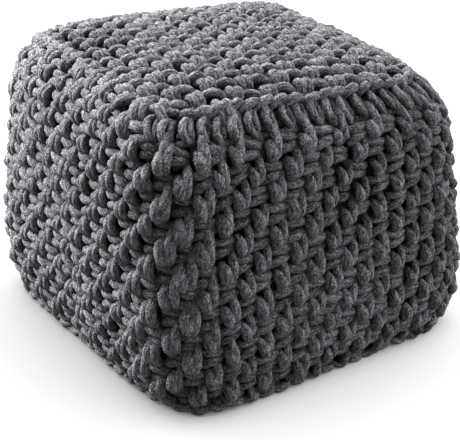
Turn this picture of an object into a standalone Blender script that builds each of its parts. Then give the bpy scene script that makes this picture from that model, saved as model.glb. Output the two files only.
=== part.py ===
"""A knitted pouf: a filled side band, a top and a bottom panel, and the seam that joins the top one on.

Metres, +Z up. The origin is at floor level under the middle of the pouf, and -Y is its front.
Every skin is worked out from the same two curves: a square with drawn-in corners, seen from above,
and a rounded profile, seen from the side. The solids reach as far as the knitting does.
"""

import math

import bmesh
import bpy
import numpy as np

# Driving sizes
WIDTH = 0.460  # left to right at the fullest line, before the corners are pushed
DEPTH = 0.460  # front to back, likewise
HEIGHT = 0.353
FULLEST = 0.210  # height of the fullest line
PLAN_CORNER_IN = 0.102  # how far a corner is drawn in, as a share of the half side
TOP_POWER = 4.1  # 2 is an ellipse and larger is squarer: the profile above the fullest line
FLOOR_POWER = 4.5  # and below it
FLOOR_REACH = 1.23  # the lower profile would close this much lower than the floor, which cuts it flat

PANEL_THICK = 0.014
SEAM_WIDE = 0.014
SEAM_PROUD = 0.002  # how far the middle of the seam stands out of the skin
SEAM_ANGLE = math.radians(45)  # where the seam runs on the profile, 0 being the fullest line
GAP = 0.0003  # left between neighbours

# How far each corner is pushed out of true, in metres: the filling has settled and twisted the cover.
PUSHED_CORNERS = (
    # side x, side y, level, push x, push y, lift
    ("left", "front", "floor", 0.004, -0.035, 0.000),
    ("left", "front", "top", 0.000, 0.023, 0.014),
    ("right", "front", "floor", 0.016, 0.004, 0.000),
    ("right", "front", "top", -0.037, 0.011, -0.010),
    ("right", "back", "floor", 0.004, 0.004, 0.000),
    ("right", "back", "top", -0.001, -0.003, -0.013),
    ("left", "back", "floor", -0.012, 0.004, 0.000),
    ("left", "back", "top", 0.027, -0.005, 0.006),
)

# Facets
SIDE_STEPS = 20  # along each side of the square
UPPER_STEPS = 8  # from the fullest line up to the seam
UPPER_EASE = 0.8  # under 1 sets them closer together towards the seam
LOWER_STEPS = 9  # from the fullest line down to the bottom panel
LOWER_EASE = 1.4  # over 1 sets them closer together towards the bottom panel
FOOT_EDGE = 0.3  # height of the loop between the floor and the band, as a share of the bottom panel
WELD = 0.00001  # points closer than this are one

YARN_COLOUR = (0.085, 0.085, 0.092, 1.0)


def eased(steps):
    """Steps from -1 to 1, closer together towards the ends, where the shape turns."""
    even = np.linspace(-1.0, 1.0, steps + 1)
    return 0.5 * (even + np.sin(0.5 * math.pi * even))


def square_rim():
    """(u, w) round the edge of the square, from its left front corner along the front."""
    side = eased(SIDE_STEPS)[:-1]
    one = np.ones(SIDE_STEPS)
    return np.concatenate([side, one, -side, -one]), np.concatenate([-one, side, one, -side])


def square_grid():
    """(u, w) all over the square."""
    return np.meshgrid(eased(SIDE_STEPS), eased(SIDE_STEPS))


def plan(u, w, inset):
    """(x, y) of a place on the square: the sides are drawn in towards the corners, which rounds them."""
    ease = (1 - PLAN_CORNER_IN) / PLAN_CORNER_IN
    x = (WIDTH / 2 - inset) * u * (1 - PLAN_CORNER_IN * np.abs(w) ** ease)
    y = (DEPTH / 2 - inset) * w * (1 - PLAN_CORNER_IN * np.abs(u) ** ease)
    return x, y


def profile(angle, inset):
    """(share of the plan's size, z) on the profile, at an angle above or below the fullest line."""
    upper = angle >= 0
    power = TOP_POWER if upper else FLOOR_POWER
    rise = (HEIGHT - FULLEST if upper else FULLEST * FLOOR_REACH) - inset
    across, along = math.cos(angle), math.sin(angle)
    size = (abs(across) ** power + abs(along) ** power) ** (1 / power)
    return across / size, FULLEST + rise * along / size


def lower_angle(z):
    """The angle at which the outer profile is at this height, under the fullest line."""
    drop = (FULLEST - z) / (FULLEST * FLOOR_REACH)
    share = (1 - drop**FLOOR_POWER) ** (1 / FLOOR_POWER)
    return -math.atan2(drop, share)


def crown(u, w, share, inset):
    """z over a panel whose edge is at this share of the plan's size: the profile over each place's level.

    The level is 0 at the panel's middle and 1 all along its edge.
    """
    power = 1 / (2 * PLAN_CORNER_IN)
    level = np.clip(1 - (1 - np.abs(u) ** power) * (1 - np.abs(w) ** power), 0, 1) ** (1 / power)
    rise = HEIGHT - FULLEST - inset
    return FULLEST + rise * np.clip(1 - (share * level) ** TOP_POWER, 0, 1) ** (1 / TOP_POWER)


def pushed(x, y, z):
    """The point after the corners are pushed, each by what is left of its push at that distance."""
    beside = np.clip(0.5 + x / WIDTH, 0, 1)
    behind = np.clip(0.5 + y / DEPTH, 0, 1)
    above = np.clip(z / HEIGHT, 0, 1)
    moved = np.stack([x, y, z + 0 * x], axis=-1)
    for side_x, side_y, level, push_x, push_y, lift in PUSHED_CORNERS:
        part_x = beside if side_x == "right" else 1 - beside
        part_y = behind if side_y == "back" else 1 - behind
        part_z = above if level == "top" else 1 - above
        moved = moved + (part_x * part_y * part_z)[..., None] * np.array([push_x, push_y, lift])
    return moved


def ring(angle, inset=0.0, z=None):
    """One loop of points round the pouf, on the profile at this angle, or flat at a height z."""
    u, w = square_rim()
    x, y = plan(u, w, inset)
    share, height = profile(angle, inset)
    if z is not None:
        height = z
    return pushed(share * x, share * y, height + 0 * x)


def panel_grid(inset):
    """The points over the top panel, out to its edge beside the seam."""
    u, w = square_grid()
    x, y = plan(u, w, inset)
    share, _ = profile(SEAM_ANGLE + seam_half_angle(), inset)
    return pushed(share * x, share * y, crown(u, w, share, inset))


def seam_half_angle():
    """Half of the seam's width, as an angle on the profile."""
    share, _ = profile(SEAM_ANGLE, 0)
    return 0.5 * SEAM_WIDE / (share * math.hypot(WIDTH / 2, HEIGHT - FULLEST))


def middle_offset():
    """Half way between the outermost points, left to right and front to back."""
    angles = np.linspace(lower_angle(0), SEAM_ANGLE, 40)
    points = np.concatenate([ring(angle) for angle in angles])
    middle = (points.min(axis=0) + points.max(axis=0)) / 2
    return np.array([middle[0], middle[1], 0.0])


class Skin:
    """Collects loops and grids of points into one closed mesh."""

    def __init__(self):
        self.mesh = bmesh.new()

    def points(self, places):
        return [self.mesh.verts.new(place) for place in places]

    def loops(self, loops, closed=False):
        """Walls from each loop of points to the next, and from the last to the first if closed."""
        rows = [self.points(loop) for loop in loops]
        rows += [rows[0]] if closed else []
        for low, high in zip(rows, rows[1:]):
            for i in range(len(low)):
                j = (i + 1) % len(low)
                self.mesh.faces.new((low[i], low[j], high[j]))
                self.mesh.faces.new((low[i], high[j], high[i]))

    def grid(self, places):
        rows = [self.points(row) for row in places]
        for near, far in zip(rows, rows[1:]):
            for i in range(len(near) - 1):
                self.mesh.faces.new((near[i], near[i + 1], far[i + 1]))
                self.mesh.faces.new((near[i], far[i + 1], far[i]))

    def lid(self, loop):
        """A face across a loop, in one fan from its middle."""
        rim = self.points(loop)
        middle = self.mesh.verts.new(np.mean(loop, axis=0))
        for i in range(len(rim)):
            self.mesh.faces.new((rim[i], rim[(i + 1) % len(rim)], middle))

    def finish(self, name, material):
        """Welds the pieces along their shared edges, turns the faces outwards and makes the object."""
        bmesh.ops.remove_doubles(self.mesh, verts=self.mesh.verts, dist=WELD)
        bmesh.ops.recalc_face_normals(self.mesh, faces=self.mesh.faces)
        data = bpy.data.meshes.new(name)
        self.mesh.to_mesh(data)
        self.mesh.free()
        data.materials.append(material)
        data.shade_smooth()
        data.set_sharp_from_angle(angle=math.radians(40))
        made = bpy.data.objects.new(name, data)
        bpy.context.scene.collection.objects.link(made)
        return made


def cotton_yarn(name, lightness):
    """Dark grey cotton: rough, with no shine, a little lighter or darker from piece to piece."""
    material = bpy.data.materials.new(name)
    material.use_nodes = True
    shader = material.node_tree.nodes["Principled BSDF"]
    red, green, blue, alpha = YARN_COLOUR
    shader.inputs["Base Color"].default_value = (red * lightness, green * lightness, blue * lightness, alpha)
    shader.inputs["Roughness"].default_value = 0.9
    shader.inputs["Metallic"].default_value = 0.0
    return material


def make_side_band(middle):
    """The filled body inside its knitted band: from the bottom panel up to the seam's groove, and
    crowned on top, where the panel lies on it."""
    under_panel = PANEL_THICK + GAP
    half = seam_half_angle()
    foot_z = PANEL_THICK + GAP
    foot = lower_angle(foot_z)
    lower = foot * (1 - np.linspace(0, 1, LOWER_STEPS + 1) ** LOWER_EASE)
    upper = (SEAM_ANGLE - half) * np.linspace(0, 1, UPPER_STEPS + 1)[1:] ** UPPER_EASE
    skin = Skin()
    skin.lid(ring(foot, z=foot_z) - middle)
    sides = [ring(foot, z=foot_z)] + [ring(angle) for angle in lower[1:]] + [ring(angle) for angle in upper]
    groove = [ring(SEAM_ANGLE - half, under_panel), ring(SEAM_ANGLE + half, under_panel)]
    skin.loops([loop - middle for loop in sides + groove])
    skin.grid(panel_grid(under_panel) - middle)
    return skin.finish("side_band", cotton_yarn("band_yarn", 1.0))


def make_top_panel(middle):
    """The square panel, one knit thick, crowned over the filling."""
    edge = SEAM_ANGLE + seam_half_angle()
    skin = Skin()
    skin.grid(panel_grid(0.0) - middle)
    skin.grid(panel_grid(PANEL_THICK) - middle)
    skin.loops([ring(edge, 0.0) - middle, ring(edge, PANEL_THICK) - middle])
    return skin.finish("top_panel", cotton_yarn("top_yarn", 1.1))


def make_top_seam(middle):
    """The chained seam: a cord in the groove between the panel and the band, a little proud of both."""
    inner_edge = seam_half_angle() * (1 - 2 * GAP / SEAM_WIDE)
    section = (
        # angle from the seam line, depth under the skin
        (-inner_edge, PANEL_THICK),
        (-inner_edge, 0.0),
        (-0.5 * inner_edge, -0.8 * SEAM_PROUD),
        (0.0, -SEAM_PROUD),
        (0.5 * inner_edge, -0.8 * SEAM_PROUD),
        (inner_edge, 0.0),
        (inner_edge, PANEL_THICK),
    )
    skin = Skin()
    skin.loops([ring(SEAM_ANGLE + turn, depth) - middle for turn, depth in section], closed=True)
    return skin.finish("top_seam", cotton_yarn("seam_yarn", 0.9))


def make_bottom_panel(middle):
    """The panel underneath, flat where it stands and rounded up to the band at its edge."""
    heights = (0.0, FOOT_EDGE * PANEL_THICK, PANEL_THICK)
    loops = [ring(lower_angle(z), z=z) - middle for z in heights]
    skin = Skin()
    skin.lid(loops[0])
    skin.loops(loops)
    skin.lid(loops[-1])
    return skin.finish("bottom_panel", cotton_yarn("bottom_yarn", 0.9))


def main():
    for old in list(bpy.data.objects):
        bpy.data.objects.remove(old, do_unlink=True)
    middle = middle_offset()
    pouf = bpy.data.objects.new("pouf", None)
    bpy.context.scene.collection.objects.link(pouf)
    for make in (make_side_band, make_top_panel, make_top_seam, make_bottom_panel):
        make(middle).parent = pouf


main()
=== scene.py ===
import math

import bpy
import numpy as np
from mathutils import Matrix


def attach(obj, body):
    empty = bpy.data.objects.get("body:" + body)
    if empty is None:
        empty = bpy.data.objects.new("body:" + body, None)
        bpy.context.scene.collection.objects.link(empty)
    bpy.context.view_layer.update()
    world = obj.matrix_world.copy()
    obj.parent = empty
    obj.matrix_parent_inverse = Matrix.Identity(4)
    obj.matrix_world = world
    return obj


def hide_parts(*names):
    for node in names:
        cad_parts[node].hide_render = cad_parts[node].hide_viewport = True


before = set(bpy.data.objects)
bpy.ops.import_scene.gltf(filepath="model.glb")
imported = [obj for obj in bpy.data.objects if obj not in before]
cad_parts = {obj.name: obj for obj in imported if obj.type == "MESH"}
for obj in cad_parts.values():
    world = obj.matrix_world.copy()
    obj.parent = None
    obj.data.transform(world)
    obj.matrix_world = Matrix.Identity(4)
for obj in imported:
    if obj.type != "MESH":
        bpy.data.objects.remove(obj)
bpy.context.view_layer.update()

# The pouf's own shape, as in the part's source. Metres, +Z up, -Y the front.
pouf = {
    "width": 0.460,  # at the fullest line, before the corners are pushed
    "depth": 0.460,
    "height": 0.353,
    "fullest": 0.210,  # height of the fullest line
    "cornerIn": 0.102,  # how far a corner of the plan is drawn in
    "topPower": 4.1,  # 2 is an ellipse and larger is squarer
    "floorPower": 4.5,
    "floorReach": 1.23,
    "seamAngle": math.radians(45),  # where the seam runs on the profile
    "pushedCorners": (  # right, back, top: 1 or 0 each, then the push in x, y and z
        (0, 0, 0, 0.004, -0.035, 0.000),
        (0, 0, 1, 0.000, 0.023, 0.014),
        (1, 0, 0, 0.016, 0.004, 0.000),
        (1, 0, 1, -0.037, 0.011, -0.010),
        (1, 1, 0, 0.004, 0.004, 0.000),
        (1, 1, 1, -0.001, -0.003, -0.013),
        (0, 1, 0, -0.012, 0.004, 0.000),
        (0, 1, 1, 0.027, -0.005, 0.006),
    ),
}


def plan(u, w):
    # the place on the plan of (u, w), from -1 to 1 each way: x is the half width times u, less a share that
    # grows with a high power of w, and y is the same the other way round
    ease = (1 - pouf["cornerIn"]) / pouf["cornerIn"]
    x = pouf["width"] / 2 * u * (1 - pouf["cornerIn"] * np.abs(w) ** ease)
    y = pouf["depth"] / 2 * w * (1 - pouf["cornerIn"] * np.abs(u) ** ease)
    return x, y


def profile(angle):
    # share of the plan and height on a rounded square profile: the cosine and sine of the angle, each over
    # the sum of their powers to one over the power
    upper = angle >= 0
    power = np.where(upper, pouf["topPower"], pouf["floorPower"])
    rise = np.where(upper, pouf["height"] - pouf["fullest"], pouf["fullest"] * pouf["floorReach"])
    size = (np.abs(np.cos(angle)) ** power + np.abs(np.sin(angle)) ** power) ** (1 / power)
    return np.cos(angle) / size, pouf["fullest"] + rise * np.sin(angle) / size


def lowerAngle(z):
    # the angle at which the profile is at a height under the fullest line
    drop = (pouf["fullest"] - z) / (pouf["fullest"] * pouf["floorReach"])
    return -math.atan2(drop, (1 - drop ** pouf["floorPower"]) ** (1 / pouf["floorPower"]))


def crown(u, w, share):
    # height over a panel: the profile over the place's level, which is 0 in the middle and 1 all along the
    # edge
    power = 1 / (2 * pouf["cornerIn"])
    level = np.clip(1 - (1 - np.abs(u) ** power) * (1 - np.abs(w) ** power), 0, 1) ** (1 / power)
    rise = pouf["height"] - pouf["fullest"]
    left = np.clip(1 - (share * level) ** pouf["topPower"], 0, 1)
    return pouf["fullest"] + rise * left ** (1 / pouf["topPower"])


def pushed(x, y, z):
    # each corner's push, times how near the point is to it along x, y and z
    rightward = np.clip(0.5 + x / pouf["width"], 0, 1)
    backward = np.clip(0.5 + y / pouf["depth"], 0, 1)
    upward = np.clip(z / pouf["height"], 0, 1)
    moved = np.stack([x, y, z], axis=-1)
    for right, back, upper, *push in pouf["pushedCorners"]:
        near = rightward if right else 1 - rightward
        near = near * (backward if back else 1 - backward)
        near = near * (upward if upper else 1 - upward)
        moved = moved + near[..., None] * np.array(push)
    return moved


def rim(turn):
    # once round the edge of the square while turn goes from 0 to 4: front, right, back, left
    side = np.floor(turn).astype(int) % 4
    along = 2 * (turn - np.floor(turn)) - 1
    one = np.ones_like(along)
    return np.choose(side, [along, one, -along, -one]), np.choose(side, [-one, along, one, -along])


def skinAt(turn, angle):
    # a point of the sides' skin: the plan's edge times the profile's share, at the profile's height
    u, w = rim(turn)
    x, y = plan(u, w)
    share, z = profile(angle)
    return pushed(share * x, share * y, z + 0 * x)


def lengthsAlong(points):
    # how far along a row of points each one is
    return np.concatenate([[0], np.cumsum(np.linalg.norm(np.diff(points, axis=0), axis=1))])


# The frame's origin is on the floor, under the middle of the sides' box
turnGrid, angleGrid = np.meshgrid(np.linspace(0, 4, 161), np.linspace(lowerAngle(0), pouf["seamAngle"], 40))
outermost = skinAt(turnGrid, angleGrid).reshape(-1, 3)
middle = (outermost.min(axis=0) + outermost.max(axis=0)) / 2 * np.array([1, 1, 0])

# Camera: as high and as far as the photograph's own, worked out from the pouf's outline
camera = {
    "azimuth": -32.125,  # degrees from straight in front, to the left
    "elevation": 22.585,
    "distance": 1.634,  # from the pouf's middle, metres
    "turned": -0.139,  # degrees off the middle
    "lowered": 2.082,
    "rolled": 0.035,
    "lens": 103.93,  # mm
    "sensor": 36,
}


def awayFrom(azimuth, elevation):
    # the direction towards a viewer at these angles
    a, e = math.radians(azimuth), math.radians(elevation)
    return np.array([math.sin(a) * math.cos(e), -math.cos(a) * math.cos(e), math.sin(e)])


def makeCamera():
    # stands off along one direction, and looks along another that is a little lower
    place = np.array([0, 0, pouf["height"] / 2]) - middle
    place = place + camera["distance"] * awayFrom(camera["azimuth"], camera["elevation"])
    back = awayFrom(camera["azimuth"] + camera["turned"], camera["elevation"] + camera["lowered"])
    level = np.cross([0, 0, 1], back)
    level = level / np.linalg.norm(level)
    upright = np.cross(back, level)
    roll = math.radians(camera["rolled"])
    right = level * math.cos(roll) + upright * math.sin(roll)
    up = upright * math.cos(roll) - level * math.sin(roll)
    made = bpy.data.objects.new("camera", bpy.data.cameras.new("camera"))
    bpy.context.scene.collection.objects.link(made)
    axes = np.stack([right, up, back], axis=1)
    made.matrix_world = Matrix([[*row, at] for row, at in zip(axes, place)] + [[0, 0, 0, 1]])
    made.data.sensor_fit = "HORIZONTAL"
    made.data.sensor_width = camera["sensor"]
    made.data.lens = camera["lens"]
    made.data.clip_end = 100
    bpy.context.scene.camera = made


makeCamera()
print("camera placed")


# Materials
def linear(colour):
    # sRGB hex to linear
    parts = [int(colour[i : i + 2], 16) / 255 for i in (1, 3, 5)]
    return [part / 12.92 if part <= 0.04045 else ((part + 0.055) / 1.055) ** 2.4 for part in parts] + [1.0]


def addNode(tree, kind, settings=None, inputs=None):
    # adds a node with its own settings, and each input from a number, a colour or another node's output
    node = tree.nodes.new(kind)
    for name, value in (settings or {}).items():
        setattr(node, name, value)
    for name, value in (inputs or {}).items():
        if isinstance(value, bpy.types.NodeSocket):
            tree.links.new(value, node.inputs[name])
        else:
            node.inputs[name].default_value = value
    return node


def setRamp(node, stops):
    # colour stops of a ramp: (place, colour)
    ramp = node.color_ramp
    while len(ramp.elements) > 1:
        ramp.elements.remove(ramp.elements[-1])
    for i, (place, colour) in enumerate(stops):
        element = ramp.elements[0] if i == 0 else ramp.elements.new(place)
        element.position = place
        element.color = linear(colour)


yarnLook = {
    "colours": (  # place on the mottle of plies and fibres, and the colour there: partly the cord's own grain, partly painted shade between the fibres
        (0.36, "#0c0c0e"),  # painted shade between the fibres
        (0.48, "#3d3d40"),
        (0.60, "#656569"),  # fibres that stand up
    ),
    "plyWidth": 2.4,  # mm, the spun plies that run along the cord
    "plyStretch": 0.3,  # how fast a ply changes along the cord, as a share of across it
    "plyShare": 0.4,  # of the mottle. The rest is fibres
    "fibreSize": 2.0,  # mm. Cotton fibres are 0.02 mm, so they are drawn as small clumps
    "paintedShadeFrom": 3.0,  # mm below the outside of the knit, where painted shade starts to darken the cord's colour
    "paintedShadeTo": 12.0,
    "paintedShade": 0.34,  # share of the colour that the painted shade leaves at paintedShadeTo
    "toneSize": 90.0,  # mm, slow change of the dye
    "toneSpread": 0.1,  # how much lighter or darker it gets
    "plyBump": 4.8,  # mm
    "fibreBump": 6.0,
    "specular": 0.08,
    "roughness": 0.92,
    "sheen": 0.04,
    "sheenRoughness": 0.5,
}


def cottonYarn(name, look):
    # spun cotton cord: soft and matt, with plies running along it and short fibres standing up, which catch
    # the light. The mottle's darkest colour is painted shade between the fibres
    material = bpy.data.materials.new(name)
    material.use_nodes = True
    tree = material.node_tree
    shader = tree.nodes["Principled BSDF"]
    place = addNode(tree, "ShaderNodeTexCoord").outputs["Object"]
    inMm = addNode(tree, "ShaderNodeVectorMath", {"operation": "SCALE"}, {0: place, "Scale": 1000}).outputs[0]
    onCord = addNode(tree, "ShaderNodeAttribute", {"attribute_name": "roundCord"}).outputs["Vector"]
    plyPlace = addNode(tree, "ShaderNodeVectorMath", {"operation": "MULTIPLY_ADD"},
                       {0: inMm, 1: (look["plyStretch"],) * 3, 2: onCord}).outputs[0]
    ply = addNode(tree, "ShaderNodeTexNoise", {},
                  {"Vector": plyPlace, "Scale": 1 / look["plyWidth"], "Detail": 1.5}).outputs["Fac"]
    fibre = addNode(tree, "ShaderNodeTexNoise", {},
                    {"Vector": inMm, "Scale": 1 / look["fibreSize"],
                     "Detail": 3, "Roughness": 0.6}).outputs["Fac"]
    tone = addNode(tree, "ShaderNodeTexNoise", {},
                   {"Vector": inMm, "Scale": 1 / look["toneSize"], "Detail": 1}).outputs["Fac"]
    # the colour is the ramp's, at the plies' and fibres' shares, and is scaled by the dye's tone and by
    # painted shade, which darkens the cord the deeper it lies in the knit
    plies = addNode(tree, "ShaderNodeMath", {"operation": "MULTIPLY"},
                    {0: ply, 1: look["plyShare"]}).outputs[0]
    mottle = addNode(tree, "ShaderNodeMath", {"operation": "MULTIPLY_ADD"},
                     {0: fibre, 1: 1 - look["plyShare"], 2: plies}).outputs[0]
    ramp = addNode(tree, "ShaderNodeValToRGB", {}, {"Fac": mottle})
    setRamp(ramp, look["colours"])
    level = addNode(tree, "ShaderNodeMapRange", {},
                    {"Value": tone, "From Min": 0.3, "From Max": 0.7,
                     "To Min": 1 - look["toneSpread"], "To Max": 1 + look["toneSpread"]}).outputs[0]
    # painted shade: the deeper a point lies in the knit, the darker its colour is painted
    depth = addNode(tree, "ShaderNodeAttribute", {"attribute_name": "depth"}).outputs["Fac"]
    paintedShade = addNode(tree, "ShaderNodeMapRange", {},
                    {"Value": depth, "From Min": look["paintedShadeFrom"], "From Max": look["paintedShadeTo"],
                     "To Min": 1, "To Max": look["paintedShade"]}).outputs[0]
    level = addNode(tree, "ShaderNodeMath", {"operation": "MULTIPLY"}, {0: level, 1: paintedShade}).outputs[0]
    toneAndPaintedShade = addNode(tree, "ShaderNodeVectorMath", {"operation": "SCALE"},
                     {0: ramp.outputs["Color"], "Scale": level}).outputs[0]
    tree.links.new(toneAndPaintedShade, shader.inputs["Base Color"])
    normal = addNode(tree, "ShaderNodeBump", {},
                     {"Height": ply, "Distance": look["plyBump"] / 1000, "Strength": 1.0}).outputs["Normal"]
    normal = addNode(tree, "ShaderNodeBump", {},
                     {"Height": fibre, "Distance": look["fibreBump"] / 1000, "Strength": 1.0,
                      "Normal": normal}).outputs["Normal"]
    tree.links.new(normal, shader.inputs["Normal"])
    shader.inputs["Roughness"].default_value = look["roughness"]
    shader.inputs["Sheen Weight"].default_value = look["sheen"]
    shader.inputs["Sheen Roughness"].default_value = look["sheenRoughness"]
    shader.inputs["Specular IOR Level"].default_value = look["specular"]
    return material


# Meshes
def newPiece(name, vertices, faces, material):
    # an object at the origin, from arrays of points and of four-cornered faces
    mesh = bpy.data.meshes.new(name)
    mesh.vertices.add(len(vertices))
    mesh.vertices.foreach_set("co", vertices.astype(np.float32).ravel())
    mesh.loops.add(faces.size)
    mesh.loops.foreach_set("vertex_index", faces.astype(np.int32).ravel())
    mesh.polygons.add(len(faces))
    mesh.polygons.foreach_set("loop_start", np.arange(len(faces), dtype=np.int32) * 4)
    mesh.update(calc_edges=True)
    mesh.shade_smooth()
    mesh.materials.append(material)
    made = bpy.data.objects.new(name, mesh)
    bpy.context.scene.collection.objects.link(made)
    return made


def setPointValues(piece, name, kind, values):
    # a value or a vector at each point, which the material reads
    attribute = piece.data.attributes.new(name, kind, "POINT")
    attribute.data.foreach_set("value" if kind == "FLOAT" else "vector", values.astype(np.float32).ravel())


def cordTubes(name, centre, outward, radius, sunk, material):
    # a round tube along each path: at each point a circle about the path's direction, kept over the floor.
    # centre and outward are (paths, points, 3), radius in metres and sunk in mm are (paths, points)
    paths, steps, _ = centre.shape
    sides = stitch["sides"]
    ahead = np.gradient(centre, axis=1)
    ahead /= np.linalg.norm(ahead, axis=-1, keepdims=True)
    side = np.cross(ahead, outward)
    side /= np.linalg.norm(side, axis=-1, keepdims=True)
    up = np.cross(side, ahead)
    around = np.arange(sides) * 2 * np.pi / sides
    cosine, sine = np.cos(around)[:, None], np.sin(around)[:, None]
    circle = cosine * side[:, :, None] + sine * up[:, :, None]
    uneven = 1 + stitch["uneven"] * np.random.default_rng(paths).normal(size=(paths, steps, sides, 1))
    points = centre[:, :, None] + radius[:, :, None, None] * uneven * circle
    points[..., 2] = np.maximum(points[..., 2], stitch["overFloor"])
    number = np.arange(paths * steps * sides).reshape(paths, steps, sides)
    here, beyond = number[:, :-1], number[:, 1:]
    walls = np.stack([here, np.roll(here, -1, axis=2), np.roll(beyond, -1, axis=2), beyond], axis=-1)
    # each end is closed by a strip of faces across its circle
    low = np.arange(sides // 2 - 1)
    strip = np.stack([low, sides - 1 - low, sides - 2 - low, low + 1], axis=1)
    ends = (number[:, 0][:, strip], number[:, -1][:, strip[:, ::-1]])
    faces = np.concatenate([part.reshape(-1, 4) for part in (walls, *ends)])
    made = newPiece(name, points.reshape(-1, 3), faces, material)
    # the place round the cord, in mm, turns a little on the way along, as its plies do
    spun = around + 2 * np.pi * stitch["twists"] * (np.arange(steps) / steps)[:, None]
    roundCord = np.stack([np.cos(spun), np.sin(spun), 0 * spun], axis=-1) * (radius[..., None, None] * 1000)
    setPointValues(made, "roundCord", "FLOAT_VECTOR", roundCord)
    # the depth, in mm, is how far the cord's middle is sunk, less how far the point is out from that middle.
    # The yarn's material paints shade by it
    setPointValues(made, "depth", "FLOAT", sunk[..., None] - 1000 * (radius[..., None] * np.sin(around)))
    return made


# The stitches. A knit pillar is two arms side by side, and two purl bars lie between it and the next pillar
# of its column. On the left side the fabric is pulled flatter: the arms make oval knobs and the bars come up
# between them. Each cord is given by a few points in millimetres: x across the column, y in the direction of
# knitting, z out of the fabric, and its thickness there. Its ends dive behind its neighbours.
stitch = {
    "width": 23.5,  # mm, the column that the points below are drawn for
    "leftArm": (
        (-3.6, 1.0, -7.0, 8.5), (-3.8, 3.6, -1.2, 11.4), (-3.6, 7.2, 2.6, 13.2), (-3.2, 11.2, 4.2, 13.8),
        (-2.8, 15.0, 3.4, 13.2), (-2.2, 18.6, 0.0, 11.2), (-1.6, 20.0, -6.0, 9.0),
    ),
    "rightArm": (
        (7.4, -12.5, -9.0, 7.5), (6.9, -9.2, -3.6, 8.6), (6.2, -4.8, 0.6, 9.4), (5.5, 0.2, 2.6, 10.0),
        (5.0, 5.2, 3.4, 10.4), (4.6, 10.5, 3.2, 10.6), (4.2, 15.2, 1.4, 10.2), (3.8, 18.6, -2.8, 9.2),
        (3.6, 19.6, -8.0, 8.4),
    ),
    "nearBar": (
        (-16.0, 22.6, -5.8, 9.6), (-11.5, 24.2, -3.6, 10.6), (-6.5, 25.4, -2.0, 11.2),
        (0.0, 26.2, -1.4, 11.4), (6.5, 26.8, -2.0, 11.2), (11.5, 27.2, -3.8, 10.6), (16.0, 27.4, -6.2, 9.6),
    ),
    "farBar": (
        (-16.0, 41.2, -5.8, 9.6), (-11.0, 39.8, -3.6, 10.6), (-6.0, 38.4, -2.0, 11.2),
        (0.0, 37.2, -1.2, 11.4), (6.0, 36.2, -2.0, 11.2), (11.0, 35.4, -3.8, 10.6), (16.0, 34.8, -6.2, 9.6),
    ),
    "behindBars": (
        (0.4, 17.0, -9.8, 8.0), (0.2, 24.0, -7.8, 10.0), (0.0, 31.5, -7.2, 11.0), (-0.2, 39.0, -7.8, 10.0),
        (-0.4, 46.0, -9.8, 8.0),
    ),
    "behindEdge": (
        (-11.4, 18.0, -10.4, 8.0), (-11.7, 25.0, -8.4, 10.0), (-11.8, 31.5, -7.8, 10.6),
        (-11.7, 38.0, -8.4, 10.0), (-11.4, 45.0, -10.4, 8.0),
    ),
    "leftKnobHalf": (
        (-3.6, -2.0, -7.5, 8.6), (-3.8, 0.8, -1.4, 11.0), (-3.8, 4.6, 2.4, 12.4), (-3.7, 9.0, 3.8, 12.8),
        (-3.5, 13.5, 2.6, 12.2), (-3.2, 17.2, -1.4, 10.4), (-3.0, 19.0, -6.5, 8.6),
    ),
    "rightKnobHalf": (
        (4.6, -8.0, -8.5, 7.6), (4.4, -4.4, -2.8, 9.6), (4.2, 0.6, 1.0, 10.6), (4.1, 6.0, 2.6, 11.0),
        (4.0, 11.2, 2.0, 10.8), (3.8, 15.8, -1.4, 9.8), (3.6, 18.2, -6.5, 8.6),
    ),
    "leftNearBar": (
        (-15.5, 22.4, -5.0, 9.8), (-11.0, 23.8, -1.6, 11.2), (-6.0, 24.8, 0.2, 11.8), (0.0, 25.6, 0.8, 12.0),
        (6.0, 26.2, 0.2, 11.8), (11.0, 26.8, -1.6, 11.2), (15.5, 27.2, -5.0, 9.8),
    ),
    "leftFarBar": (
        (-15.5, 41.0, -5.0, 9.8), (-11.0, 39.8, -1.6, 11.2), (-6.0, 38.4, 0.2, 11.8), (0.0, 37.4, 0.8, 12.0),
        (6.0, 36.6, 0.2, 11.8), (11.0, 35.8, -1.6, 11.2), (15.5, 35.2, -5.0, 9.8),
    ),
    "hem": (
        (-13.5, 0.8, -4.0, 7.0), (-9.0, 0.5, 1.2, 8.6), (-3.0, 0.2, 3.2, 9.4), (3.0, -0.2, 3.4, 9.4),
        (9.0, -0.5, 1.6, 8.6), (13.5, -0.8, -4.0, 7.0),
    ),
    "link": (
        (-15.0, 0.2, -4.5, 6.5), (-11.5, -0.6, 1.0, 9.0), (-6.0, -1.6, 5.0, 10.4), (0.0, -2.4, 6.2, 10.8),
        (6.5, -3.0, 5.6, 10.4), (11.5, -3.4, 2.6, 9.2), (15.0, -3.6, -3.0, 6.5),
    ),
    "highest": 9.5,  # mm, the z that lies on the solids' surface
    "middle": 7.0,  # mm, the y that a stitch leans and swells about
    "ownShare": 0.6,  # how far a cord shifts on its own, as a share of how far its stitch does
    "mostUneven": 1.7,  # standard deviations, the furthest that a stitch's random numbers go
    "steps": 12,  # circles along a cord
    "sides": 8,
    "uneven": 0.07,  # share of the radius
    "twists": 0.3,  # turns of the plies along a cord
    "overFloor": 0.0003,  # metres
    "columnStep": 0.02,  # columns to either side, over which the skin's direction is measured
    "metreStep": 0.001,  # metres to either side, the same on a panel
    "downStep": 0.0008,  # metres to either side, the other way
}

# Where each piece's random numbers start, the same on every run
seeds = {
    "knitFront": 11,
    "knitRight": 21,
    "knitBack": 31,
    "knitLeft": 41,
    "knitHem": 93,
    "knitLegs": 91,
    "knitUnderLegs": 95,
    "knitRisingArms": 99,
    "knitLeftTop": 101,
    "seamChain": 97,
    "knitTop": 61,
    "knitBottom": 71,
}


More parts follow.
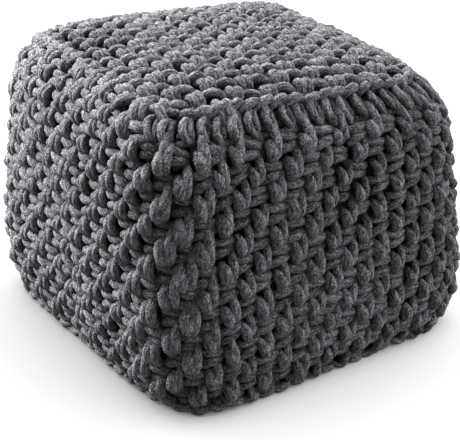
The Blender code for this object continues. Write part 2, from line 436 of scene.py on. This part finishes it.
def alongCurve(points, steps):
    # a smooth curve through a few points: between two of them, a cubic whose slopes are half the step from
    # one neighbour to the other
    points = np.array(points, dtype=float)
    padded = np.concatenate([2 * points[:1] - points[1:2], points, 2 * points[-1:] - points[-2:-1]])
    place = np.linspace(0, len(points) - 1, steps)
    first = np.minimum(place.astype(int), len(points) - 2)
    f = (place - first)[:, None]
    a, b, c, d = (padded[first + i] for i in range(4))
    return 0.5 * (2 * b + (c - a) * f + (2 * a - 5 * b + 4 * c - d) * f**2 + (3 * b - a - 3 * c + d) * f**3)


def smoothRandom(shape, seed):
    # random numbers, each averaged with its neighbours so that they drift, and none far out
    field = np.random.default_rng(seed).normal(size=shape)
    for axis in (0, 1):
        field = (np.roll(field, 1, axis) + 2 * field + np.roll(field, -1, axis)) / 4
    return np.clip(field / field.std(), -stitch["mostUneven"], stitch["mostUneven"])


# The knitted band. It is knitted round and round, with the heads of its stitches towards the floor.
band = {
    "columns": 72,
    "firstColumn": -0.28,  # columns, where the first one stands from the front's left corner
    "lean": -0.055,  # how far the columns run aside on the way down, metres per metre
    "firstPillar": 0.042,  # how far down the profile from the seam
    "pitch": 0.048,  # metres from one pillar to the next in a column
    "units": 7,  # pillars in a column. Those under the floor are left out
    "hemHeight": 0.0045,  # metres, the middle of the last row over the floor
    "hemRoom": 0.004,  # metres that the stitches over it leave free
    "turn": 0.12,  # how far a stitch leans off its column, radians
    "shift": 1.4,  # mm
    "lift": 0.8,  # mm
    "swell": 0.08,  # how much larger or smaller a stitch is
    "thicker": 0.05,  # how much thicker or thinner a cord is
    "sunkOnRight": 2.8,  # mm. The right side's outline is smoother than the others
    "sunkOver": 2,  # columns from a corner, over which that comes in
    "cornerSwell": 0.10,  # how much larger the pillars are at the front's left corner
    "cornerLift": 2.0,  # mm that they stand out further, and the bars less far
    "cornerColumns": 3.0,  # columns from the corner, where this is down to about a third
    "tableFrom": math.radians(75),  # the profile is measured from here, inside the top panel
    "tableTo": -0.02,  # to this height, under the floor
}

turns = np.linspace(0, 4, 4001)
roundFullest = lengthsAlong(skinAt(turns, np.zeros_like(turns)))
angles = np.linspace(band["tableFrom"], lowerAngle(band["tableTo"]), 1201)
downProfile = profile(angles)
downLengths = lengthsAlong(np.stack([downProfile[0] * pouf["width"] / 2, downProfile[1]], axis=1))
downLengths = downLengths - np.interp(-pouf["seamAngle"], -angles, downLengths)
downToFloor = float(np.interp(-lowerAngle(0), -angles, downLengths))
stitchWidth = roundFullest[-1] / band["columns"]
widthOnBand = stitchWidth * 1000 / stitch["width"]
print(f"down the side {downToFloor:.3f} m, round the fullest line {roundFullest[-1]:.3f} m")
print(f"a stitch is {stitchWidth * 1000:.1f} mm wide")


def bandSkin(column, down):
    # a point of the band from a column number round it and a distance down the profile from the seam
    turn = np.interp(column % band["columns"], roundFullest / stitchWidth, turns)
    return skinAt(turn, np.interp(down, downLengths, angles)) - middle


def deeperOn(side, skin, sunk):
    # the skin, moved inwards along x on the right or left side by mm that come in over a few columns at
    # either corner. The middle of the right side is three eighths of the way round, and that of the left side
    # seven eighths
    inwards, sideMiddle = (-1, 3 / 8) if side == "right" else (1, 7 / 8)

    def moved(column, down):
        point = skin(column, down)
        aside = np.abs(column % band["columns"] - sideMiddle * band["columns"])
        share = np.clip((band["columns"] / 8 - aside) / band["sunkOver"], 0, 1)
        point[..., 0] += inwards * sunk / 1000 * share
        return point

    return moved


def overSkin(skin, first, second, height, stepFirst, stepSecond):
    # a point at a height over a skin, along the cross product of the skin's two directions there
    point = skin(first, second)
    alongFirst = skin(first + stepFirst, second) - skin(first - stepFirst, second)
    alongSecond = skin(first, second + stepSecond) - skin(first, second - stepSecond)
    outward = np.cross(alongSecond, alongFirst)
    outward /= np.linalg.norm(outward, axis=-1, keepdims=True)
    return point + height[..., None] * outward, outward


def atCorner(cord):
    # at the front's left corner an arm stands out and is larger, 1, and a bar lies deeper, -1.
    # A cord of the long loops or the panels, given by its own points, stays
    if not isinstance(cord, str):
        return 0.0
    return 1.0 if cord.endswith(("Arm", "Half")) else -1.0


def layCords(cords, size, seed, nearCorner):
    # every cord of every stitch, as offsets in mm: its curve leant, swollen and shifted a little by the
    # stitch's random numbers, which neighbours partly share, and by a few of its own
    curves = [alongCurve(stitch[cord] if isinstance(cord, str) else cord, stitch["steps"]) for cord in cords]
    x, y, z, thick = np.moveaxis(np.array(curves), -1, 0)[:, None, None]
    lean, grow, shiftX, shiftY, lift = (smoothRandom(size, seed + i)[..., None, None] for i in range(5))
    ownX, ownY, ownZ, ownThick = np.random.default_rng(seed + 5).normal(size=(4, *size, len(cords), 1))
    own = stitch["ownShare"]
    out = nearCorner[..., None, None] * np.array([[atCorner(cord)] for cord in cords])
    swollen = 1 + band["swell"] * grow + band["cornerSwell"] * np.maximum(out, 0)
    turnBy = band["turn"] * lean
    fromMiddle = y - stitch["middle"]
    newX = swollen * x - turnBy * fromMiddle + band["shift"] * (shiftX + own * ownX)
    newY = stitch["middle"] + swollen * fromMiddle + turnBy * x + band["shift"] * (shiftY + own * ownY)
    newZ = z - stitch["highest"] + band["lift"] * (lift + own * ownZ) + band["cornerLift"] * out
    return newX, newY, newZ, thick * swollen * (1 + band["thicker"] * ownThick) / 2


def makeUnits(name, skin, place, column, start, cords, widthScale, pitchScale, keep, material):
    # lays the cords at each stitch's column and start, on the skin, and keeps those that the test lets
    # through
    # nearness to the front's left corner: e to minus the square of the columns from it over cornerColumns
    halfRound = band["columns"] / 2
    fromCorner = (column + 0.5 + band["firstColumn"] + halfRound) % band["columns"] - halfRound
    nearCorner = np.exp(-((fromCorner / band["cornerColumns"]) ** 2)) * (place is onBand)
    x, y, z, radius = layCords(cords, column.shape, seeds[name], nearCorner)
    columns, starts = column[..., None, None] + 0 * x, start[..., None, None] + 0 * x
    first, second = place(columns, starts, x * widthScale, y * pitchScale)
    kept = keep(first, second)
    laid = (first, second, z, radius)
    first, second, z, radius = (np.broadcast_to(values, first.shape)[kept] for values in laid)
    step = stitch["columnStep"] if place is onBand else stitch["metreStep"]
    centre, outward = overSkin(skin, first, second, z / 1000, step, stitch["downStep"])
    return cordTubes(name, centre, outward, radius / 1000, -z, material)


def onBand(column, start, x, y):
    # columns run a little aside on the way down
    down = start + y / 1000
    across = column + 0.5 + band["firstColumn"] + x / (stitchWidth * 1000)
    return across + band["lean"] * down / stitchWidth, down


coverSkin = deeperOn("right", bandSkin, band["sunkOnRight"])


def knitOnBand(name, column, start, cords, keep, material, skin=coverSkin):
    # the cords laid on the band, at its own gauge
    return makeUnits(name, skin, onBand, column, start, cords, widthOnBand, 1, keep, material)


def everyStitch(columns, units):
    # the column and the number in it of each stitch
    return np.meshgrid(columns, units, indexing="ij")


usualCords = ("leftArm", "rightArm", "nearBar", "farBar")
leftCords = ("leftKnobHalf", "rightKnobHalf", "leftNearBar", "leftFarBar")
behind = ("behindBars", "behindEdge")  # the backs of the loops, seen in the gaps


def atMiddle(places):
    # of the places along each cord, the middle one
    return places[..., stitch["steps"] // 2]


def aboveFloor(first, second):
    # whether the middle of a cord is on the band, and not under the pouf
    return (atMiddle(second) > 0.0) & (atMiddle(second) < downToFloor - band["hemHeight"] - band["hemRoom"])


def everyCord(first, second):
    # a test that lets every cord through
    return np.ones(second.shape[:-1], dtype=bool)


def makeBand(material):
    # a piece a side. Every second column starts half a pitch lower
    made = []
    quarter = band["columns"] // 4
    for i, name in enumerate(("knitFront", "knitRight", "knitBack", "knitLeft")):
        column, unit = everyStitch(np.arange(i * quarter, (i + 1) * quarter), np.arange(band["units"]))
        start = band["firstPillar"] + band["pitch"] * (unit + 0.5 * (column % 2))
        cords = (leftCords if name == "knitLeft" else usualCords) + behind
        made.append(knitOnBand(name, column, start, cords, aboveFloor, material))
    return made


def makeHem(material):
    # the last row, where the band turns under
    column = np.arange(band["columns"])[:, None]
    start = 0.0 * column + downToFloor - band["hemHeight"]
    return knitOnBand("knitHem", column, start, ("hem",), everyCord, material)


# The row of long loops under the seam. A loop is two legs, fillers are the backs of loops seen between them,
# and every second loop has an arm that rises into it from the pillar below
legs = {
    "leftLeg": (
        (6.5, -1.0, -8.0, 6.5), (3.0, 2.0, -3.0, 8.6), (-1.5, 6.0, 0.8, 9.6), (-4.8, 11.5, 2.2, 10.2),
        (-5.6, 18.0, 2.4, 10.2), (-4.4, 24.5, 2.0, 10.0), (-0.6, 30.5, 0.8, 9.8), (4.0, 34.5, -2.0, 9.0),
        (8.0, 36.5, -7.0, 7.0),
    ),
    "rightLeg": (
        (9.5, -1.0, -8.5, 7.0), (8.0, 4.0, -3.4, 8.6), (6.0, 10.5, -1.6, 9.4), (6.2, 18.0, -1.2, 9.6),
        (7.6, 26.0, -1.8, 9.4), (8.2, 33.0, -4.5, 8.6), (7.5, 38.0, -9.5, 7.5),
    ),
    "risingArm": (
        (6.6, -26.0, -7.0, 7.0), (6.2, -22.0, -1.2, 8.6), (5.4, -16.0, 1.4, 9.4), (4.6, -9.0, 2.4, 9.8),
        (4.3, -2.0, 2.8, 10.0), (4.4, 5.0, 3.0, 10.0), (4.5, 12.0, 2.0, 10.0),
    ),
    "filler": (
        (-14.0, 37.0, -6.0, 9.0), (0.0, 36.5, -5.0, 9.4), (14.0, 37.0, -6.0, 9.0),
    ),
    "middleFiller": (
        (-14.0, 24.0, -7.5, 10.0), (0.0, 23.5, -6.8, 10.4), (14.0, 24.0, -7.5, 10.0),
    ),
    "upperFiller": (
        (-14.0, 11.0, -7.5, 10.0), (0.0, 10.5, -6.8, 10.4), (14.0, 11.0, -7.5, 10.0),
    ),
    "edgeFiller": (
        (-11.6, 26.0, -10.0, 8.0), (-11.8, 34.0, -8.4, 10.0), (-11.8, 45.0, -7.8, 10.6),
        (-11.8, 56.0, -8.4, 10.0), (-11.6, 64.0, -10.0, 8.0),
    ),
    "columns": 54,  # the front, right and back
    "reach": 0.034,  # metres down from the seam, where the usual stitches take over
    "raised": 0.002,  # metres that the bars there are higher
    "leftFrom": -0.004,  # metres down from the seam, where the left side's stitches start
    "linkSunkOnLeft": 5.0,  # mm. On the left side the seam lies deeper
}

legCords = ("leftLeg", "rightLeg", "filler", "middleFiller", "upperFiller", "edgeFiller")


def underLegs(first, second):
    # whether the middle of a cord is below the long loops
    return atMiddle(second) > legs["reach"]


def belowSeam(first, second):
    # whether the middle of a cord is below the place where the left side's stitches start
    return atMiddle(second) > legs["leftFrom"]


def makeLegs(material):
    # a loop a column, from the one before the front's first to the back's last, then what lies under them
    column = np.concatenate([[-1], np.arange(legs["columns"])])[:, None]
    cords = [legs[name] for name in legCords]
    long = knitOnBand("knitLegs", column, 0.0 * column, cords, aboveFloor, material)
    start = band["firstPillar"] + band["pitch"] * (0.5 * (column % 2) - 1) - legs["raised"]
    cords = ("nearBar", "farBar") + behind
    short = knitOnBand("knitUnderLegs", column, start, cords, underLegs, material)
    column = column[column % 2 == 0][:, None]
    start = 0.0 * column + band["firstPillar"]
    rising = knitOnBand("knitRisingArms", column, start, (legs["risingArm"],), everyCord, material)
    # on the left the usual stitches run on up to the seam
    column, unit = everyStitch(np.arange(legs["columns"], band["columns"] - 1), np.array([-2, -1]))
    start = band["firstPillar"] + band["pitch"] * (unit + 0.5 * (column % 2))
    upper = knitOnBand("knitLeftTop", column, start, leftCords + behind, belowSeam, material)
    return [long, short, rising, upper]


def makeChain(material):
    # a link a column, along the seam
    column = np.arange(band["columns"])[:, None]
    seamSkin = deeperOn("left", coverSkin, legs["linkSunkOnLeft"])
    return knitOnBand("seamChain", column, 0.0 * column, ("link",), everyCord, material, seamSkin)


# The top and bottom panels, knitted flat, from the front to the back
top = {
    "columns": 17,
    "units": 9,
    "repeats": 8.5,  # pitches from front to back
    "floorRepeats": 8.0,
    "turned": 4.0,  # degrees, how far the rows run off the front seam
    "firstPillar": -0.010,  # metres from the front seam
    "inside": 0.985,  # a cord whose middle is further out than this share of the way to the seam is left out
    "leftArm": (
        (-4.4, -4.0, -7.0, 8.0), (-4.6, -1.0, -1.6, 9.6), (-4.8, 3.0, 2.4, 10.6), (-4.8, 7.5, 4.2, 11.0),
        (-4.7, 12.0, 3.4, 10.8), (-4.5, 16.0, 0.0, 9.8), (-4.3, 18.5, -5.0, 8.0),
    ),
    "rightArm": (
        (3.6, -8.0, -9.0, 7.0), (4.0, -4.5, -5.0, 8.6), (4.4, -0.5, -0.4, 10.0), (4.7, 4.0, 3.2, 10.8),
        (4.8, 8.5, 4.6, 11.0), (4.8, 13.0, 3.0, 10.6), (4.7, 16.5, -1.0, 9.4), (4.5, 18.5, -6.0, 8.0),
    ),
    "nearBar": (
        (14.0, 33.5, -4.0, 7.5), (10.5, 32.6, 1.2, 9.4), (5.0, 31.2, 4.0, 10.8), (-1.0, 29.6, 3.8, 11.0),
        (-7.0, 28.0, 1.2, 10.0), (-11.5, 26.8, -3.2, 8.4), (-14.5, 26.0, -8.5, 7.0),
    ),
    "farBar": (
        (14.5, 42.0, -8.5, 7.0), (10.5, 41.5, -4.4, 8.6), (5.0, 41.0, -2.2, 9.4), (-1.0, 40.4, -2.0, 9.4),
        (-7.0, 39.8, -3.4, 9.0), (-11.5, 39.4, -6.0, 8.0), (-14.5, 39.0, -9.5, 7.0),
    ),
}

panelShare = float(profile(np.array([pouf["seamAngle"]]))[0][0])


def onSquare(x, y):
    # the place on the square whose plan is (x, y): each coordinate over what the other leaves of the half
    # width, again and again, each time half way to the new value
    ease = (1 - pouf["cornerIn"]) / pouf["cornerIn"]
    u, w = 2 * x / pouf["width"], 2 * y / pouf["depth"]
    for _ in range(40):
        nextU = 2 * x / pouf["width"] / (1 - pouf["cornerIn"] * np.minimum(np.abs(w), 1) ** ease)
        nextW = 2 * y / pouf["depth"] / (1 - pouf["cornerIn"] * np.minimum(np.abs(u), 1) ** ease)
        u, w = (u + nextU) / 2, (w + nextW) / 2
    return u, w


def topSkin(y, x):
    # a point of the top panel's skin, from a place on its plan before the corners are pushed. It runs on past
    # the seam
    u, w = onSquare(x / panelShare, y / panelShare)
    return pushed(x, y, crown(np.clip(u, -1.1, 1.1), np.clip(w, -1.1, 1.1), panelShare)) - middle


# Lengths over the panel, from one seam to the other and a little past both
halfPanel = panelShare * pouf["width"] / 2
edgeTable = np.linspace(-1.05 * halfPanel, 1.05 * halfPanel, 801)
edgeLengths = lengthsAlong(topSkin(0 * edgeTable, edgeTable))
edgeLengths = edgeLengths - np.interp(-halfPanel, edgeTable, edgeLengths)
panelSide = np.interp(halfPanel, edgeTable, edgeLengths)


def onTop(column, start, x, y):
    # right to left along the row, and front to back, all turned a little about the middle
    across = (top["columns"] / 2 - column - 0.5) * panelSide / top["columns"] - x / 1000
    back = start + y / 1000 - panelSide / 2
    turn = math.radians(top["turned"])
    turnedAcross = across * math.cos(turn) + back * math.sin(turn) + panelSide / 2
    turnedBack = back * math.cos(turn) - across * math.sin(turn) + panelSide / 2
    return np.interp(turnedBack, edgeLengths, edgeTable), np.interp(turnedAcross, edgeLengths, edgeTable)


def insideShare(first, second, share):
    # whether the middle of a cord is well inside the edge of a panel whose plan is this share of the pouf's
    u, w = onSquare(atMiddle(second) / share, atMiddle(first) / share)
    return np.maximum(np.abs(u), np.abs(w)) < top["inside"]


def insidePanel(first, second):
    return insideShare(first, second, panelShare)


def makeTop(material):
    # one column and one stitch more than fit, on either side, since the rows are turned
    pitch = panelSide / top["repeats"]
    column, unit = everyStitch(np.arange(-1, top["columns"] + 1), np.arange(-1, top["units"] + 1))
    start = top["firstPillar"] + pitch * (unit - 0.5 * (column % 2))
    widthScale = panelSide / top["columns"] * 1000 / stitch["width"]
    cords = [top[name] for name in usualCords] + list(behind)
    pitchScale = pitch / band["pitch"]
    return makeUnits("knitTop", topSkin, onTop, column, start, cords, widthScale, pitchScale,
                     insidePanel, material)


floorShare = float(profile(np.array([lowerAngle(0)]))[0][0])
halfFloor = floorShare * pouf["width"] / 2


def bottomSkin(y, x):
    # the flat underside, seen from below: z is 0 and x runs the other way
    return np.stack([-x, y, 0 * x], axis=-1) - middle


def onBottom(column, start, x, y):
    # front to back, and across as seen from below
    across = (column + 0.5 + x / stitch["width"]) * 2 * halfFloor / top["columns"] - halfFloor
    return start - halfFloor + y / 1000, across


def insideFloor(first, second):
    return insideShare(first, second, floorShare)


def makeBottom(material):
    # the band's stitches again, since the underside doesn't show
    pitch = 2 * halfFloor / top["floorRepeats"]
    column, unit = everyStitch(np.arange(top["columns"]), np.arange(top["units"]))
    start = pitch * (unit - 0.5 * (column % 2))
    cords, pitchScale = usualCords + behind, pitch / band["pitch"]
    return makeUnits("knitBottom", bottomSkin, onBottom, column, start, cords, 1, pitchScale,
                     insideFloor, material)


yarn = cottonYarn("cotton cord, charcoal", yarnLook)
pieces = makeBand(yarn)
pieces += [makeHem(yarn), *makeLegs(yarn)]
print("band knitted")
seamChain = makeChain(yarn)
knitTop = makeTop(yarn)
knitBottom = makeBottom(yarn)
print("panels knitted")

for piece in pieces + [seamChain, knitTop, knitBottom]:
    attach(piece, "root")
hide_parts("top_seam")
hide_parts("top_panel")
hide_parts("bottom_panel")


# The filled body inside the cover: the CAD band a little smaller, blown up as cloth, and kept as the plain
# mesh that this leaves. It is coloured near black as painted shade, seen through the gaps between the cords
body = {
    "shrink": 0.0205,  # metres smaller all round before it is filled
    "weld": 0.00005,  # metres, points closer than this are one
    "voxel": 0.012,  # metres, the size of its faces before they are halved
    "pressure": 4.0,
    "frames": 20,
    "mostMoved": 0.005,  # metres
    "colours": ((0.35, "#0b0b0c"), (0.65, "#17171a")),  # place on the mottle, and colour: pit and ridge, both near black as painted shade
    "loopSize": 9.0,  # mm
    "loopBump": 2.0,
}


def gapShadeKnit(name):
    # the knit in the gaps between the cords, where hardly any light comes: painted near black as shade, matt,
    # with the cords behind as a soft mottle
    material = bpy.data.materials.new(name)
    material.use_nodes = True
    tree = material.node_tree
    shader = tree.nodes["Principled BSDF"]
    place = addNode(tree, "ShaderNodeTexCoord").outputs["Object"]
    mottle = addNode(tree, "ShaderNodeTexNoise", {},
                     {"Vector": place, "Scale": 1000 / body["loopSize"], "Detail": 3.0}).outputs["Fac"]
    ramp = addNode(tree, "ShaderNodeValToRGB", {}, {"Fac": mottle})
    setRamp(ramp, body["colours"])
    bump = addNode(tree, "ShaderNodeBump", {}, {"Height": mottle, "Distance": body["loopBump"] / 1000})
    tree.links.new(ramp.outputs["Color"], shader.inputs["Base Color"])
    tree.links.new(bump.outputs["Normal"], shader.inputs["Normal"])
    shader.inputs["Specular IOR Level"].default_value = 0.0
    shader.inputs["Roughness"].default_value = 1.0
    return material


def pointsOf(mesh):
    # the mesh's points, one to a row
    points = np.empty(len(mesh.vertices) * 3, np.float32)
    mesh.vertices.foreach_get("co", points)
    return points.reshape(-1, 3).astype(float)


def evaluatedMesh(piece):
    # the mesh with the piece's modifiers applied
    bpy.context.view_layer.update()
    return bpy.data.meshes.new_from_object(piece.evaluated_get(bpy.context.evaluated_depsgraph_get()))


def fillWithAir(piece):
    # the cloth runs without gravity, and each point then keeps at most mostMoved of the way that it went
    cloth = piece.modifiers.new("filling", "CLOTH")
    cloth.settings.use_pressure = True
    cloth.settings.uniform_pressure_force = body["pressure"]
    cloth.settings.effector_weights.gravity = 0.0
    cloth.point_cache.frame_end = body["frames"]
    for number in range(1, body["frames"] + 1):
        bpy.context.scene.frame_set(number)
    filled = pointsOf(evaluatedMesh(piece))
    piece.modifiers.remove(cloth)
    bpy.context.scene.frame_set(1)
    start = pointsOf(piece.data)
    way = filled - start
    far = np.linalg.norm(way, axis=1, keepdims=True)
    ended = start + way * np.minimum(1, body["mostMoved"] / np.maximum(far, 1e-9))
    ended[:, 2] = np.maximum(ended[:, 2], start[:, 2].min())
    piece.data.vertices.foreach_set("co", ended.astype(np.float32).ravel())
    print(f"filled: moved {far.mean() * 1000:.1f} mm on average, {far.max() * 1000:.1f} mm at most")


def makeBody(material):
    # each coordinate of the band scaled about the middle, so that the box ends shrink inside it on every side
    made = bpy.data.objects.new("filledBody", bpy.data.objects["side_band"].data.copy())
    bpy.context.scene.collection.objects.link(made)
    points = pointsOf(made.data)
    middlePoint = (points.min(axis=0) + points.max(axis=0)) / 2
    half = (points.max(axis=0) - points.min(axis=0)) / 2
    points = middlePoint + (points - middlePoint) * (half - body["shrink"]) / half
    made.data.vertices.foreach_set("co", points.astype(np.float32).ravel())
    weld = made.modifiers.new("weld", "WELD")
    weld.merge_threshold = body["weld"]
    remesh = made.modifiers.new("remesh", "REMESH")
    remesh.mode = "VOXEL"
    remesh.voxel_size = body["voxel"]
    made.data = evaluatedMesh(made)
    made.modifiers.clear()
    fillWithAir(made)
    finer = made.modifiers.new("finer", "SUBSURF")
    finer.levels = finer.render_levels = 1
    made.data = evaluatedMesh(made)
    made.modifiers.clear()
    made.data.materials.clear()
    made.data.materials.append(material)
    return made


filledBody = makeBody(gapShadeKnit("knit behind, painted near black as gap shade"))
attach(filledBody, "root")
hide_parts("side_band")
print("body filled")


# Floor and light
stage = {
    "floor": "#ffffff",
    "floorSize": 30.0,
    "leftSky": 1.66,  # how bright the white surroundings are on either side
    "rightSky": 1.56,
    "brighter": (-0.94, 0.0, 0.34),  # the direction in which they get brighter
    "roomAzimuth": -50,  # where the camera's side of the room is, which has no white walls
    "roomElevation": 12,
    "roomFrom": 0.1,  # cosine of the angle off it, where it starts
    "room": 0.52,  # its share of the brightness
    "suns": (  # name, strength, azimuth and elevation of where it stands, angle across it in degrees
        ("key", 30.0, -168, 42, 60),
        ("fill", 14.0, 78, 18, 70),
    ),
    "panels": (  # name, watts, azimuth, elevation and distance from the pouf's foot, metres across
        ("side", 56.0, -141, 28, 1.10, 0.40),
    ),
}


def turnedTowards(back):
    # a turn whose z axis is this direction, and whose x axis is level
    side = np.cross([0, 0, 1], back)
    side /= np.linalg.norm(side)
    up = np.cross(back, side)
    return Matrix([[*row, 0] for row in np.stack([side, up, back], axis=1)] + [[0, 0, 0, 1]])


def makeFloor():
    # white studio paper: matt, and lit so that it reads as the photograph's white ground
    half = stage["floorSize"] / 2
    corners = np.array([[-half, -half, 0], [half, -half, 0], [half, half, 0], [-half, half, 0]])
    paper = bpy.data.materials.new("white studio paper")
    paper.use_nodes = True
    shader = paper.node_tree.nodes["Principled BSDF"]
    shader.inputs["Base Color"].default_value = linear(stage["floor"])
    shader.inputs["Roughness"].default_value = 0.9
    shader.inputs["Specular IOR Level"].default_value = 0.0
    floor = newPiece("floor", corners, np.array([[0, 1, 2, 3]]), paper)
    return floor


def makeSurroundings():
    # white all round, brighter towards one side and times a share that falls off towards the camera's side of
    # the room
    world = bpy.data.worlds.new("studio")
    bpy.context.scene.world = world
    world.use_nodes = True
    tree = world.node_tree
    background = tree.nodes["Background"]
    direction = addNode(tree, "ShaderNodeTexCoord").outputs["Generated"]
    leftward = addNode(tree, "ShaderNodeVectorMath", {"operation": "DOT_PRODUCT"},
                       {0: direction, 1: stage["brighter"]}).outputs["Value"]
    level = addNode(tree, "ShaderNodeMapRange", {},
                    {"Value": leftward, "From Min": -1, "From Max": 1,
                     "To Min": stage["rightSky"], "To Max": stage["leftSky"]}).outputs[0]
    roomDirection = tuple(awayFrom(stage["roomAzimuth"], stage["roomElevation"]))
    roomward = addNode(tree, "ShaderNodeVectorMath", {"operation": "DOT_PRODUCT"},
                       {0: direction, 1: roomDirection}).outputs["Value"]
    room = addNode(tree, "ShaderNodeMapRange", {},
                   {"Value": roomward, "From Min": stage["roomFrom"], "From Max": 1,
                    "To Min": 1.0, "To Max": stage["room"]}).outputs[0]
    strength = addNode(tree, "ShaderNodeMath", {"operation": "MULTIPLY"}, {0: level, 1: room}).outputs[0]
    background.inputs["Color"].default_value = (1, 1, 1, 1)
    tree.links.new(strength, background.inputs["Strength"])


def makeLights(unlitPiece):
    # suns and panels light the pouf alone. The floor has only the white surroundings, and so a soft shadow
    unlit = bpy.data.collections.new("lit by the surroundings alone")
    unlit.objects.link(unlitPiece)
    unlit.collection_objects[0].light_linking.link_state = "EXCLUDE"
    for kind, rows in (("SUN", stage["suns"]), ("AREA", stage["panels"])):
        for name, energy, azimuth, elevation, *sizes in rows:
            light = bpy.data.objects.new(name, bpy.data.lights.new(name, kind))
            bpy.context.scene.collection.objects.link(light)
            light.data.energy = energy
            away = awayFrom(azimuth, elevation)
            light.matrix_world = turnedTowards(away)
            if kind == "SUN":
                light.data.angle = math.radians(sizes[0])
            else:
                light.location = away * sizes[0]
                light.data.size = sizes[1]
            light.light_linking.receiver_collection = unlit


ground = makeFloor()
makeSurroundings()
makeLights(ground)
bpy.context.scene.view_settings.view_transform = "Standard"
print("stage set")
